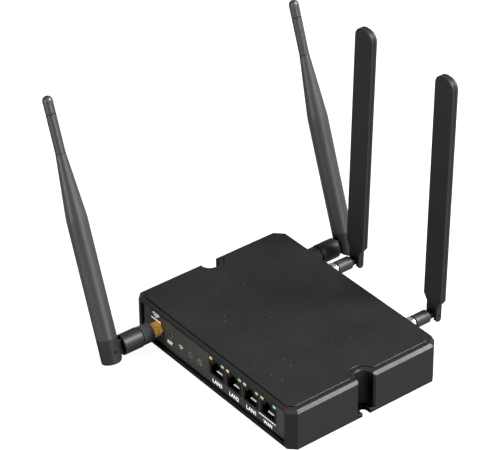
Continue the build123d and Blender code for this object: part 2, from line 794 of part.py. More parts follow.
with BuildPart() as socket_washers:
    with Locations(*all_sockets):
        add(socket_washer.part)
socket_washers.part.label = "socket_washers"
export_step(socket_washers.part, "parts/socket_washers.step")

# ---------------------------------------------------------------- aerial leads inside the case
lead_radius = 0.65
lead_bend = 4.0
lead_run = 8.0              # straight part behind a socket, inside which the lead turns
lead_headroom = 4.0         # under the cover's ceiling
lead_plug_radius = 1.5
lead_plug_height = 1.6
radio_plug_reach = 3.0      # beyond the shield's end
radio_plug_x = -3.0         # from the shield's middle
modem_plug_x = 9.0          # either side of the card's middle
modem_plug_inset = 3.5      # from the card's free end
crossing_y = 38.5           # where the left paddle's lead turns across the case
lead_start = panel_face + flange_face - socket_flange_thickness - socket_tail_length
radio_reach = radio_size[1] / 2 + radio_plug_reach
modem_plug_y = modem_at[1] + modem_size[1] / 2 - modem_plug_inset
lead_ends = [
    (radio_at[0] + radio_plug_x, radio_at[1] - radio_reach, board_top),
    (radio_at[0] + radio_plug_x, radio_at[1] + radio_reach, board_top),
    (modem_at[0] - modem_plug_x, modem_plug_y, modem_top),
    (modem_at[0] + modem_plug_x, modem_plug_y, modem_top),
]
lead_layer = ceiling - lead_headroom
lead_corners = [[], [], [(paddle_socket_x[0], crossing_y, lead_layer)], []]

with BuildPart() as aerial_leads:
    for plane, end, corners in zip(all_sockets, lead_ends, lead_corners):
        side = 1 if plane.z_dir.Y > 0 else -1
        start = (plane.origin.X, side * lead_start, socket_z)
        bend_out = (plane.origin.X, side * (lead_start - lead_run), socket_z)
        above = (end[0], end[1], max(lead_layer, end[2] + lead_plug_height + 2 * lead_bend))
        foot = (end[0], end[1], end[2] + lead_plug_height)
        with BuildLine() as route:
            FilletPolyline(start, bend_out, *corners, above, foot, radius=lead_bend)
        with BuildSketch(Plane(origin=start, z_dir=route.line % 0)):
            Circle(lead_radius)
        sweep(path=route.line)
aerial_leads.part.label = "aerial_leads"
export_step(aerial_leads.part, "parts/aerial_leads.step")

with BuildPart() as lead_plugs:
    with Locations(*lead_ends):
        Cylinder(lead_plug_radius, lead_plug_height, align=(Align.CENTER, Align.CENTER, Align.MIN))
lead_plugs.part.label = "lead_plugs"
export_step(lead_plugs.part, "parts/lead_plugs.step")

# ---------------------------------------------------------------- coupling nuts
coupling_inner = thread_radius + thread_gap
stem_collar_radius = thread_radius - stem_collar_step
collar_low = thread_length + stem_gap
collar_high = collar_low + stem_collar_thickness


def coupling(hex_end, end, neck_radius):
    """Coupling nut along +Z from the panel's face: a hexagon, a round neck and the thread's bore."""
    with BuildPart() as nut:
        with BuildSketch(Plane.XY.offset(coupling_start)):
            RegularPolygon(coupling_flats / 2, 6, major_radius=False)
        extrude(amount=hex_end - coupling_start)
        chamfer(nut.edges().filter_by(Plane.XY), coupling_edge)
        with BuildSketch(Plane.XY.offset(coupling_start)):
            Circle(neck_radius)
        extrude(amount=end - coupling_start)
        with BuildSketch(Plane.XY.offset(coupling_start)):
            Circle(coupling_inner)
        extrude(amount=collar_high + stem_gap - coupling_start, mode=Mode.SUBTRACT)
        with BuildSketch(Plane.XY.offset(coupling_start)):
            Circle(stem_radius + thread_gap)
        extrude(amount=end - coupling_start, mode=Mode.SUBTRACT)
    return nut.part


hex_end = coupling_start + coupling_hex_length
whip_coupling = coupling(hex_end, whip_coupling_end, coupling_neck_radius)
paddle_coupling = coupling(paddle_coupling_end - paddle_neck_length, paddle_coupling_end,
                           coupling_flats / 2 - paddle_neck_step)

with BuildPart() as grip_ring:
    with BuildSketch(Plane.XY.offset(hex_end)):
        Circle(grip_radius)
    extrude(amount=whip_coupling_end - hex_end)
    chamfer(grip_ring.edges().filter_by(GeomType.CIRCLE), grip_edge)
    with BuildSketch(Plane.XY.offset(hex_end)):
        with PolarLocations(grip_radius, grip_flutes):
            Circle(grip_flute_radius)
        Circle(coupling_neck_radius)
    extrude(amount=whip_coupling_end - hex_end, mode=Mode.SUBTRACT)

# ---------------------------------------------------------------- swivelling sleeves and barrels


def swivel(reach, coupling_end, radius, shoulder, tongue, thickness, pin):
    """Round body turning on the coupling nut, with the tongue that the folding part hinges on.

    Its frame has the fold axis on X at the origin and +Y towards the router.
    """
    start = reach - coupling_end - sleeve_gap
    with BuildPart() as body:
        with BuildSketch():
            with BuildLine():
                Polyline((0, reach - collar_low), (stem_collar_radius, reach - collar_low),
                         (stem_collar_radius, reach - collar_high), (stem_radius, reach - collar_high),
                         (stem_radius, start), (radius - sleeve_edge, start), (radius, start - sleeve_edge),
                         (radius, shoulder + sleeve_edge), (radius - sleeve_edge, shoulder),
                         (0, shoulder), close=True)
            make_face()
        revolve(axis=Axis.Y)
        with BuildSketch(Plane.YZ):
            Circle(tongue)
            with Locations((shoulder / 2, 0)):
                Rectangle(shoulder, 2 * tongue)
        extrude(amount=thickness / 2, both=True)
        with BuildSketch(Plane.YZ):
            Circle(pin + pin_gap)
        extrude(amount=thickness, both=True, mode=Mode.SUBTRACT)
    return body.part


whip_sleeve = swivel(whip_reach, whip_coupling_end, whip_radius, whip_shoulder,
                     tongue_radius, tongue_thickness, whip_pin_radius)
paddle_barrel = swivel(paddle_reach, paddle_coupling_end, barrel_radius, barrel_shoulder,
                       paddle_tongue_radius, ear_gap_width - 2 * tongue_gap, paddle_pin_radius)

# ---------------------------------------------------------------- whip antenna, fold axis at the origin
slot_half = tongue_thickness / 2 + tongue_gap
slot_end = tongue_radius + tongue_end_gap

with BuildPart() as whip_base:
    with BuildSketch(Plane.XY.offset(-whip_tail)):
        Circle(whip_radius)
    extrude(amount=whip_tail + fork_top)
    fillet(whip_base.faces().sort_by(Axis.Z)[0].edges(), fork_edge)
    chamfer(whip_base.faces().sort_by(Axis.Z)[-1].edges(), seam_edge)
    with BuildSketch(Plane.XY.offset(fork_top)):
        Circle(whip_radius - radome_wall - spigot_gap)
    extrude(amount=radome_spigot)
    with BuildSketch(Plane.YZ) as swing_room:
        with Locations((whip_radius, -whip_radius)):
            Rectangle(2 * whip_radius, 2 * whip_radius)
        Circle(whip_tail, mode=Mode.SUBTRACT)
    extrude(amount=whip_radius, both=True, mode=Mode.SUBTRACT)
    with BuildSketch(Plane.YZ) as fork_slot:
        with Locations((whip_radius - slot_end, slot_end - whip_tail)):
            Rectangle(2 * whip_radius, 2 * whip_tail)
        fillet(fork_slot.vertices().sort_by(Axis.X)[:2].sort_by(Axis.Y)[-1], slot_end - fork_round)
    extrude(amount=slot_half, both=True, mode=Mode.SUBTRACT)
    with BuildSketch(Plane.YZ):
        Circle(whip_pin_radius)
    extrude(amount=whip_radius, both=True, mode=Mode.SUBTRACT)

with BuildPart() as whip_pin:
    with BuildSketch(Plane.YZ):
        Circle(whip_pin_radius)
    extrude(amount=whip_radius - pin_recess, both=True)

radome_top = whip_length - tip_length
cone_low = whip_length - cone_start
cone_high = whip_length - cone_end


def radome_profile(inset, low):
    """Half section of the whip between its base and its tip, moved inwards by inset."""
    with BuildSketch(Plane.XZ) as section:
        with BuildLine():
            FilletPolyline((whip_radius - inset, low), (whip_radius - inset, cone_low),
                           (thin_radius - inset, cone_high), (thin_radius - inset, radome_top),
                           radius=cone_blend)
            Polyline((thin_radius - inset, radome_top), (0, radome_top), (0, low), (whip_radius - inset, low))
        make_face()
    return section.sketch


with BuildPart() as whip_radome:
    add(radome_profile(0, fork_top))
    revolve(axis=Axis.Z)
    chamfer(whip_radome.faces().sort_by(Axis.Z)[0].edges(), seam_edge)
    with BuildSketch(Plane.XZ):
        with Locations((thin_radius, cone_high)):
            Rectangle(2 * radome_line[0], radome_line[1])
    revolve(axis=Axis.Z, mode=Mode.SUBTRACT)
    add(radome_profile(radome_wall, fork_top))
    revolve(axis=Axis.Z, mode=Mode.SUBTRACT)

with BuildPart() as whip_tip:
    with BuildSketch(Plane.XY.offset(radome_top - tip_spigot)):
        Circle(thin_radius - radome_wall - spigot_gap)
    extrude(amount=tip_spigot)
    with BuildSketch(Plane.XY.offset(radome_top)):
        Circle(thin_radius - tip_groove)
    extrude(amount=tip_groove_width)
    with BuildSketch(Plane.XY.offset(radome_top + tip_groove_width)):
        Circle(thin_radius)
    extrude(amount=tip_length - tip_groove_width)
    fillet(whip_tip.faces().sort_by(Axis.Z)[-1].edges(), thin_radius - tip_flat)

with BuildPart() as whip_element:
    with BuildSketch(Plane.XY.offset(fork_top + radome_spigot)):
        Circle(element_sleeve_radius)
    extrude(amount=element_sleeve_length)
    with BuildSketch(Plane.XY.offset(fork_top + radome_spigot)):
        Circle(element_radius)
    extrude(amount=radome_top - element_end_gap - fork_top - radome_spigot)

# ---------------------------------------------------------------- paddle antenna, fold axis at the origin
half_thickness = paddle_thickness / 2


def blade_outline(inset):
    """Face of the paddle's blade, moved inwards by inset; the sketch's Y is the paddle's length."""
    with BuildSketch() as face:
        with BuildLine():
            wide = paddle_width / 2 - inset
            narrow = paddle_width / 2 - paddle_taper[0] - inset
            low = paddle_foot + inset
            high = paddle_length - inset
            Polyline((narrow, low), (wide, low + paddle_taper[1]), (wide, high), (-wide, high),
                     (-wide, low + paddle_taper[1]), (-narrow, low), close=True)
        make_face()
        corners = face.vertices().group_by(Axis.Y)
        fillet(corners[-1], paddle_top_round - inset)
        fillet(corners[0] + corners[1], paddle_taper_round - inset)
    return face.sketch


blade_face = blade_outline(0)
blade_room = blade_outline(paddle_wall)

with BuildPart() as paddle_front:
    with BuildSketch(Plane.XZ.offset(-half_thickness)):
        add(blade_face)
    extrude(amount=half_thickness)
    fillet(paddle_front.faces().sort_by(Axis.Y)[-1].edges(), paddle_edge)
    chamfer(paddle_front.faces().sort_by(Axis.Y)[0].edges(), paddle_seam)
    with BuildSketch(Plane.XZ.offset(-half_thickness + paddle_wall)):
        add(blade_room)
    extrude(amount=half_thickness - paddle_wall, mode=Mode.SUBTRACT)
    with BuildSketch(Plane.XZ.offset(-ear_thickness / 2)) as fork:
        with Locations((0, (paddle_foot + paddle_wall - ear_tail) / 2)):
            Rectangle(ear_width, paddle_foot + paddle_wall + ear_tail)
        with Locations((0, (paddle_tongue_radius + tongue_end_gap - ear_tail) / 2)):
            Rectangle(ear_gap_width, paddle_tongue_radius + tongue_end_gap + ear_tail, mode=Mode.SUBTRACT)
    extrude(amount=ear_thickness)
    ear_ends = paddle_front.edges().filter_by(Axis.X).group_by(Axis.Z)[0]
    fillet(ear_ends, ear_round)
    with BuildSketch(Plane.YZ):
        Circle(paddle_pin_radius)
    extrude(amount=ear_width, both=True, mode=Mode.SUBTRACT)

with BuildPart() as paddle_back:
    with BuildSketch(Plane.XZ):
        add(blade_face)
    extrude(amount=half_thickness)
    fillet(paddle_back.faces().sort_by(Axis.Y)[0].edges(), paddle_edge)
    chamfer(paddle_back.faces().sort_by(Axis.Y)[-1].edges(), paddle_seam)
    with BuildSketch(Plane.XZ):
        add(blade_room)
    extrude(amount=half_thickness - paddle_wall, mode=Mode.SUBTRACT)
    with BuildSketch(Plane.XZ):
        with Locations((0, paddle_foot + paddle_wall / 2)):
            Rectangle(ear_width, paddle_wall)
    extrude(amount=ear_thickness / 2, mode=Mode.SUBTRACT)

with BuildPart() as paddle_pin:
    with BuildSketch(Plane.YZ):
        Circle(paddle_pin_radius)
    extrude(amount=ear_width / 2 - paddle_pin_recess, both=True)

with BuildPart() as paddle_board:
    board_width, board_length, board_thick = paddle_board_size
    with BuildSketch(Plane.XZ.offset(-board_thick / 2)):
        with Locations((0, paddle_foot + paddle_wall + paddle_board_start + board_length / 2)):
            Rectangle(board_width, board_length)
    extrude(amount=board_thick)

# ---------------------------------------------------------------- the four antennas, placed
whip_pieces = {"sleeve": whip_sleeve, "base": whip_base.part, "pin": whip_pin.part,
               "radome": whip_radome.part, "tip": whip_tip.part, "element": whip_element.part}
paddle_pieces = {"barrel": paddle_barrel, "front": paddle_front.part, "back": paddle_back.part,
                 "pin": paddle_pin.part, "board": paddle_board.part}
antennas = [
    ("front_whip", front_socket, fold_place(front_socket_x, -1, whip_reach, whip_lean), whip_pieces,
     {"coupling": whip_coupling, "grip": grip_ring.part}),
    ("rear_whip", rear_sockets[0], fold_place(rear_socket_x, 1, whip_reach, whip_lean), whip_pieces,
     {"coupling": whip_coupling, "grip": grip_ring.part}),
    ("left_paddle", rear_sockets[1], fold_place(paddle_socket_x[0], 1, paddle_reach, paddle_lean[0]),
     paddle_pieces, {"coupling": paddle_coupling}),
    ("right_paddle", rear_sockets[2], fold_place(paddle_socket_x[1], 1, paddle_reach, paddle_lean[1]),
     paddle_pieces, {"coupling": paddle_coupling}),
]
for antenna, socket_plane, fold, folding_pieces, nut_pieces in antennas:
    for piece, shape in nut_pieces.items():
        placed = socket_plane.location * shape
        placed.label = f"{antenna}_{piece}"
        export_step(placed, f"parts/{antenna}_{piece}.step")
    for piece, shape in folding_pieces.items():
        placed = fold * shape
        placed.label = f"{antenna}_{piece}"
        export_step(placed, f"parts/{antenna}_{piece}.step")
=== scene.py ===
from math import cos, pi, radians, sin

import bpy
from mathutils import Matrix, Vector


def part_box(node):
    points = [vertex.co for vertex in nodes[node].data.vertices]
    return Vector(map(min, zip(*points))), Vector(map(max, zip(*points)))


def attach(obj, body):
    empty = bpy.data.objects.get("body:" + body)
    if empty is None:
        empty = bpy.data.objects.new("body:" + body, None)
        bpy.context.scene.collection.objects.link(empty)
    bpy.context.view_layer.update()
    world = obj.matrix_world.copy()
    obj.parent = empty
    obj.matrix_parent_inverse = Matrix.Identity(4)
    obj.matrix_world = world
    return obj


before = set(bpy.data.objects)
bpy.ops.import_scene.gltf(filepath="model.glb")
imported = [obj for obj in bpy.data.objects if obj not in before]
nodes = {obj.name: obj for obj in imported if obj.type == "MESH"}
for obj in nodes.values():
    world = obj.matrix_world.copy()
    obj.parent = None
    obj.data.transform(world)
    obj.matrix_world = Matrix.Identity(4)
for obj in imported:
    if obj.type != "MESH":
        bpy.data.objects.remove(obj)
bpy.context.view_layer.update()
bpy.ops.object.select_all(action="DESELECT")


# ---------------------------------------------------------------- base plate
# The bottom of the case is one flat moulding of black ABS with a fine spark-eroded grain. It closes
# the cover from below, carries the board on four posts and is held by a screw near each corner.


class Wire:
    """A socket in a finish; arithmetic on it adds Math nodes to the same finish."""

    def __init__(self, tree, socket=None):
        self.tree, self.socket = tree, socket

    def node(self, kind, settings, sockets, output=0):
        """Adds a node: first its settings, then the values or wires of its sockets."""
        made = self.tree.nodes.new("ShaderNode" + kind)
        for name, value in settings.items():
            setattr(made, name, value)
        for name, value in sockets.items():
            if isinstance(value, Wire):
                self.tree.links.new(value.socket, made.inputs[name])
            else:
                made.inputs[name].default_value = value
        return Wire(self.tree, made.outputs[output])

    def math(self, operation, first, second):
        return self.node("Math", {"operation": operation}, {0: first, 1: second})

    def __add__(self, other):
        return self.math("ADD", self, other)

    def __sub__(self, other):
        return self.math("SUBTRACT", self, other)

    def __rsub__(self, other):
        return self.math("SUBTRACT", other, self)

    def __mul__(self, other):
        return self.math("MULTIPLY", self, other)

    def __gt__(self, other):
        return self.math("GREATER_THAN", self, other)

    __radd__, __rmul__ = __add__, __mul__

    def noise(self, size, detail=2.0, distortion=0.0):
        """Cloudy pattern from 0 to 1 whose lumps are about size metres across."""
        return self.node("TexNoise", {}, {"Vector": self, "Scale": 1 / size, "Detail": detail,
                                          "Distortion": distortion})

    def tint(self, low, high):
        """Colour between low and high, this wire being the share of high."""
        return self.node("Mix", {"data_type": "RGBA"}, {0: self, 6: (*low, 1), 7: (*high, 1)}, 2)

    def stretched(self, along):
        """This place with each axis multiplied by along, for patterns longer one way."""
        return self.node("Mapping", {}, {"Vector": self, "Scale": along})

    def bump(self, height, depth, edge=0.0):
        """Normal of a surface that rises depth metres with height, its edges rounded to edge metres."""
        sockets = {"Height": height, "Distance": depth}
        if edge:
            sockets["Normal"] = self.node("Bevel", {"samples": 4}, {"Radius": edge})
        return self.node("Bump", {}, sockets)


def finish(name, constants, drawn):
    """A finish whose constants sit on the shader itself; drawn(place) gives what varies over it.

    A wire named Shade is painted shade: the share by which the finish is mixed towards a near-black diffuse
    shader.
    """
    material = bpy.data.materials.new(name)
    material.use_nodes = True
    tree = material.node_tree
    shader = tree.nodes["Principled BSDF"]
    for socket, value in constants.items():
        shader.inputs[socket].default_value = value
    place = Wire(tree).node("TexCoord", {}, {}, "Object")
    wires = drawn(place)
    painted_shade = wires.pop("Shade", None)
    for socket, wire in wires.items():
        tree.links.new(wire.socket, shader.inputs[socket])
    if painted_shade:
        # Painted shade: the finish is mixed towards a near-black diffuse shader by that share.
        nearly_black = (0.001, 0.001, 0.001, 1)
        dark = place.node("BsdfDiffuse", {}, {"Color": nearly_black})
        mixed = place.node("MixShader", {}, {0: painted_shade, 1: Wire(tree, shader.outputs[0]), 2: dark})
        tree.links.new(mixed.socket, tree.nodes["Material Output"].inputs["Surface"])
    return material


def cover(material, *names):
    """Gives CAD nodes their finish."""
    for name in names:
        nodes[name].data.materials.clear()
        nodes[name].data.materials.append(material)


def moulded(low, high, roughness, grain, depth, edge, dust=0.0, mottle=0.3, reach=0.012, alone=False):
    """Injection-moulded plastic: grain of that size and depth, cloudy gloss, rubbed edges and dust.

    Hollows narrower than reach metres get painted shade, mixed towards near-black by ambient occlusion; alone
    counts only the piece's own walls.
    """
    cloud_size, rub_size = 0.030, 0.004
    speck_pitch, speck_radius, speck_grey = 0.004, 0.09, (0.085, 0.085, 0.080, 1)

    def drawn(place):
        fine = place.noise(grain, 3.0)
        cloud = place.noise(cloud_size, 4.0)
        rub = place.noise(rub_size, 5.0, 0.5)
        rounded = place.node("Bevel", {"samples": 8}, {"Radius": edge})
        flat = place.node("NewGeometry", {}, {}, "Normal")
        along = place.node("VectorMath", {"operation": "DOT_PRODUCT"}, {0: rounded, 1: flat}, "Value")
        worn = (1 - along) * rub * 4.0
        colour = (fine * (0.8 - mottle) + cloud * mottle + rub * 0.2 + worn).tint(low, high)
        if dust:
            cells = {"Vector": place, "Scale": 1 / speck_pitch}
            away = place.node("TexVoronoi", {}, cells, "Distance")
            kept = place.node("TexVoronoi", {}, cells, "Color")
            chosen = place.node("SeparateColor", {}, {"Color": kept}, 0)
            speck = ((speck_radius - away) > 0.0) * (chosen > 1 - dust)
            colour = place.node("Mix", {"data_type": "RGBA"}, {0: speck, 6: colour, 7: speck_grey}, 2)
        rough = roughness - 0.03 - mottle * 0.25 + cloud * (mottle * 0.5) + rub * 0.06 - worn * 0.5
        # Painted shade: where ambient occlusion within reach falls below 0.75, the finish is mixed towards
        # near-black.
        open_sky = place.node("AmbientOcclusion", {"samples": 8, "only_local": alone},
                              {"Distance": reach}, "AO")
        return {"Base Color": colour, "Roughness": rough, "Shade": (0.75 - open_sky) * 3.5,
                "Normal": place.node("Bump", {}, {"Height": fine, "Distance": depth, "Normal": rounded})}

    return drawn


base_plastic = finish("base_plastic", {"Specular IOR Level": 0.35},
                      moulded((0.010, 0.010, 0.010), (0.020, 0.020, 0.020), 0.55,
                              0.0005, 0.00005, 0.0003))
cover(base_plastic, "base_plate")


# ---------------------------------------------------------------- main board and what sits on it
# One glass-epoxy board with green solder mask holds the processor under a finned sink, two memory
# chips, the line transformers, a shielded radio and a plug-in modem card. All is soldered in place.
def etched(place):
    """Solder mask over copper tracks: straight runs, pads and bare laminate between them."""
    run = place.node("TexBrick", {"offset": 0.37, "squash": 0.6, "squash_frequency": 3},
                     {"Vector": place, "Scale": 260.0, "Mortar Size": 0.06, "Brick Width": 2.6,
                      "Row Height": 0.42, "Color1": (0.1, 0.1, 0.1, 1), "Color2": (0.9, 0.9, 0.9, 1),
                      "Mortar": (0.4, 0.4, 0.4, 1)}, "Color")
    track = place.node("SeparateColor", {}, {"Color": run}, 0)
    stain = place.noise(0.012, 3.0)
    return {"Base Color": (track * 0.55 + stain * 0.45).tint((0.003, 0.030, 0.012), (0.012, 0.120, 0.040)),
            "Roughness": 0.32 + stain * 0.15 - track * 0.06,
            "Normal": place.bump(track, 0.00004)}


def brushed(low, high, roughness, along):
    """Sheet or extruded metal with fine lines that run one way and a few stains."""

    def drawn(place):
        line = place.stretched(along).noise(0.0012, 4.0)
        stain = place.noise(0.006, 3.0)
        return {"Base Color": (line * 0.6 + stain * 0.4).tint(low, high),
                "Roughness": roughness - 0.08 + line * 0.12 + stain * 0.08,
                "Normal": place.bump(line, 0.000015, 0.0002)}

    return drawn


def potted(low, high, roughness, grain, depth):
    """Moulded epoxy, ceramic or nylon without wear: even grain and faint clouds."""

    def drawn(place):
        fine, cloud = place.noise(grain, 3.0), place.noise(0.004, 2.0)
        return {"Base Color": (fine * 0.6 + cloud * 0.4).tint(low, high),
                "Roughness": roughness - 0.05 + fine * 0.1, "Normal": place.bump(fine, depth, 0.0001)}

    return drawn


board_green = finish("board_green", {"Coat Weight": 0.3}, etched)
sink_aluminium = finish("sink_aluminium", {"Metallic": 1.0},
                        brushed((0.30, 0.31, 0.32), (0.52, 0.53, 0.54), 0.42, (1, 0.05, 1)))
shield_steel = finish("shield_steel", {"Metallic": 1.0},
                      brushed((0.42, 0.42, 0.41), (0.62, 0.61, 0.59), 0.30, (0.06, 1, 1)))
chip_epoxy = finish("chip_epoxy", {},
                    potted((0.010, 0.010, 0.011), (0.022, 0.022, 0.023), 0.50, 0.0002, 0.00002))
led_ceramic = finish("led_ceramic", {},
                     potted((0.55, 0.54, 0.48), (0.78, 0.77, 0.70), 0.35, 0.0002, 0.00001))
lead_jacket = finish("lead_jacket", {},
                     potted((0.020, 0.020, 0.022), (0.045, 0.045, 0.048), 0.42, 0.0003, 0.00002))
cover(board_green, "main_board")
cover(sink_aluminium, "heat_sink")
cover(shield_steel, "radio_shield", "modem_card")
cover(chip_epoxy, "board_chips", "line_transformers", "reset_switch", "card_socket", "power_filter")
cover(led_ceramic, "status_leds")
cover(lead_jacket, "aerial_leads")


# ---------------------------------------------------------------- screws
# Countersunk case screws and round-headed board screws, both of zinc-plated steel with a cross
# recess. Each is driven from outside its own piece and the plating has a faint yellow bloom.
def plated(place):
    """Zinc plating: pale, slightly blue and yellow in patches, with turned rings left by the die."""
    patch, fine = place.noise(0.002, 3.0), place.noise(0.0003, 2.0)
    return {"Base Color": patch.tint((0.45, 0.46, 0.47), (0.66, 0.63, 0.55)),
            "Roughness": 0.22 + fine * 0.18, "Normal": place.bump(fine, 0.00002, 0.0001)}


screw_steel = finish("screw_steel", {"Metallic": 1.0}, plated)
cover(screw_steel, "case_screws", "board_screws", "socket_washers")


# ---------------------------------------------------------------- network jacks
# Four unshielded jack shells in black nylon stand side by side behind the front panel. Sprung
# gold-plated contacts rise from each floor and two pale windows above each plug carry its lights.
jack_nylon = finish("jack_nylon", {"Specular IOR Level": 0.25},
                    moulded((0.003, 0.003, 0.003), (0.007, 0.007, 0.007), 0.45,
                            0.0004, 0.00003, 0.00015))
cover(jack_nylon, "lan_jacks", "sim_holder")


def gilt_with_painted_glints(low, high, roughness):
    """Gold over nickel: warm, with fine machining lines and patches whose light and dark are stretched as
    painted highlights and reflections, and able to glow as painted light.
    """

    def drawn(place):
        turn = place.stretched((1, 6, 1)).noise(0.0010, 3.0)
        patch = place.noise(0.0016, 4.0, 0.4)
        # Painted highlights and reflections: the pattern's contrast is stretched so patches read as bright
        # and dark facets; Emission Color lets it glow.
        colour = ((turn * 0.5 + patch * 0.5 - 0.5) * 2.2 + 0.6).tint(low, high)
        return {"Base Color": colour, "Emission Color": colour,
                "Roughness": roughness - 0.06 + patch * 0.16, "Normal": place.bump(turn, 0.00006, 0.00015)}

    return drawn


contact_gold = finish("contact_gold", {"Metallic": 0.8},
                      gilt_with_painted_glints((0.55, 0.32, 0.20), (0.95, 0.66, 0.42), 0.28))
cover(contact_gold, "power_pin", "lead_plugs")
# The front end of each contact is painted bright as a highlight, with a little glow; behind it the wire is
# painted dark as shade.
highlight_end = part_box("jack_contacts")[0].y + 0.0008
highlight_fade = 0.0004


def contact_with_painted_highlight(place):
    """Sprung wire whose front end is painted as a bright highlight that glows a little; the rest is painted
    dark brown as shade.
    """
    patch = place.noise(0.0008, 3.0)
    depth = place.node("SeparateXYZ", {}, {"Vector": place}, 1)
    bright = (highlight_end - depth) * (1 / highlight_fade) + patch * 0.4
    return {"Base Color": bright.tint((0.045, 0.030, 0.024), (1.00, 0.88, 0.84)),
            "Emission Color": bright.tint((0.0, 0.0, 0.0), (0.30, 0.24, 0.23)),
            "Roughness": 0.3 + patch * 0.1, "Normal": place.bump(patch, 0.00001)}


cover(finish("contact_wire", {"Emission Strength": 1.0}, contact_with_painted_highlight), "jack_contacts")


jack_light_middle = 0.0221


def window(low, high, middle):
    """Tinted window of clear polycarbonate, painted pale above the height middle as a highlight and darker
    below it.
    """
    steepness = 900.0

    def drawn(place):
        haze, fine = place.noise(0.0011, 2.0), place.noise(0.0003, 2.0)
        height = place.node("SeparateXYZ", {}, {"Vector": place}, 2)
        # Painted highlight: the upper part of the window is pale, the lower part dark.
        painted_shine = (height - middle) * steepness + 0.3 + haze * 0.6
        return {"Base Color": painted_shine.tint(low, high), "Roughness": 0.18 + fine * 0.14,
                "Normal": place.bump(fine, 0.00002, 0.0002)}

    return drawn


yellow_window = finish("yellow_window", {"Coat Weight": 0.5},
                       window((0.16, 0.14, 0.02), (0.98, 0.90, 0.40), jack_light_middle))
green_window = finish("green_window", {"Coat Weight": 0.5},
                      window((0.03, 0.16, 0.07), (0.42, 0.90, 0.58), jack_light_middle))
cover(yellow_window, "jack_lights_yellow")
cover(green_window, "jack_lights_green")


# ---------------------------------------------------------------- end panels
# Two plates of dark grey ABS slide in grooves behind the mouths of the cover. They are smoother than
# the cover and screen printed: white legends by the ports and faint pictures over the light pipes.
# Within 4 mm of the cover's edge and other pieces the panels are painted darker as shade.
panel_plastic = finish("panel_plastic", {"Specular IOR Level": 0.4},
                       moulded((0.027, 0.0290, 0.0262), (0.050, 0.0535, 0.0480), 0.42,
                               0.0004, 0.00002, 0.0003, reach=0.004))
cover(panel_plastic, "front_panel", "rear_panel")

panel_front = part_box("front_panel")[0].y
print_thickness = 0.00005

# Middles of the ports, status lights, reset hole and aerial mark on the panel.
port_x = [0.004, 0.0215, 0.039, 0.0565]
status_x = [-0.034, -0.024, -0.014]
status_z = 0.0122
reset_x, reset_z = -0.0457, 0.0156
aerial_x, aerial_z = -0.0612, 0.0205


def ink(low, high):
    """Screen-printed ink: even, matt, with the weave of the screen and thin spots, and a little painted glow
    that brightens it.
    """

    def drawn(place):
        weave, thin = place.noise(0.00018, 2.0), place.noise(0.0012, 3.0)
        colour = (weave * 0.4 + thin * 0.6).tint(low, high)
        return {"Base Color": colour, "Emission Color": colour, "Roughness": 0.5 + weave * 0.2,
                "Normal": place.bump(weave, 0.00001)}

    return drawn


# The inks glow a little, as painted light that brightens the print.
white_ink = finish("white_ink", {"Emission Strength": 0.35}, ink((0.80, 0.80, 0.79), (0.98, 0.98, 0.97)))
pale_ink = finish("pale_ink", {"Emission Strength": 0.1}, ink((0.34, 0.35, 0.24), (0.60, 0.61, 0.45)))
faint_ink = finish("faint_ink", {"Emission Strength": 0.1}, ink((0.085, 0.090, 0.050), (0.160, 0.165, 0.095)))


def printed(mark, name, x, z, material):
    """Stands a flat mark, drawn on XY about the origin, on the front panel's face at x and z."""
    mark.name = name
    bpy.ops.object.select_all(action="DESELECT")
    mark.select_set(True)
    bpy.context.view_layer.objects.active = mark
    mark.rotation_euler = (pi / 2, 0, 0)
    mark.location = (x, panel_front, z)
    bpy.ops.object.transform_apply()
    mark.data.materials.append(material)
    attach(mark, "case")
    mark.select_set(False)


def thickened():
    """Extrudes the flat outline at work into a layer of ink and makes its faces point outwards."""
    bpy.ops.object.mode_set(mode="EDIT")
    bpy.ops.mesh.select_all(action="SELECT")
    bpy.ops.mesh.extrude_region_move(TRANSFORM_OT_translate={"value": (0, 0, print_thickness)})
    bpy.ops.mesh.select_all(action="SELECT")
    bpy.ops.mesh.normals_make_consistent(inside=False)
    bpy.ops.object.mode_set(mode="OBJECT")


def legend(name, words, width, height, x, z, material=white_ink):
    """Printed words, width by height metres, their middle at x and z."""
    boldness = 0.03
    bpy.ops.object.text_add()
    mark = bpy.context.object
    mark.data.body = words
    mark.data.align_x, mark.data.align_y = "CENTER", "CENTER"
    mark.data.offset = boldness
    bpy.ops.object.convert(target="MESH")
    mark = bpy.context.object
    low = [min(v.co[i] for v in mark.data.vertices) for i in range(2)]
    high = [max(v.co[i] for v in mark.data.vertices) for i in range(2)]
    mark.scale = (width / (high[0] - low[0]), height / (high[1] - low[1]), 1)
    mark.location = (-(low[0] + high[0]) / 2 * mark.scale.x, -(low[1] + high[1]) / 2 * mark.scale.y, 0)
    bpy.ops.object.transform_apply()
    thickened()
    printed(mark, name, x, z, material)


def band(name, width, height, x, z, material=white_ink):
    """Printed straight line, width by height metres."""
    bpy.ops.mesh.primitive_plane_add(size=1)
    mark = bpy.context.object
    mark.scale = (width, height, 1)
    bpy.ops.object.transform_apply()
    thickened()
    printed(mark, name, x, z, material)


def hoop(name, radius, line, x, z, keep=None, material=white_ink):
    """Printed ring, or the wedge of it within keep degrees either side of straight up."""
    bpy.ops.mesh.primitive_circle_add(vertices=48, radius=radius, fill_type="NGON")
    mark = bpy.context.object
    bpy.ops.object.mode_set(mode="EDIT")
    bpy.ops.mesh.select_all(action="SELECT")
    bpy.ops.mesh.inset(thickness=line)
    bpy.ops.mesh.delete(type="FACE")
    if keep:
        across, down = cos(radians(keep)), -sin(radians(keep))
        for side in (-1, 1):
            bpy.ops.mesh.select_all(action="SELECT")
            bpy.ops.mesh.bisect(plane_co=(0, 0, 0), plane_no=(side * across, down, 0), clear_outer=True)
    bpy.ops.object.mode_set(mode="OBJECT")
    thickened()
    printed(mark, name, x, z, material)


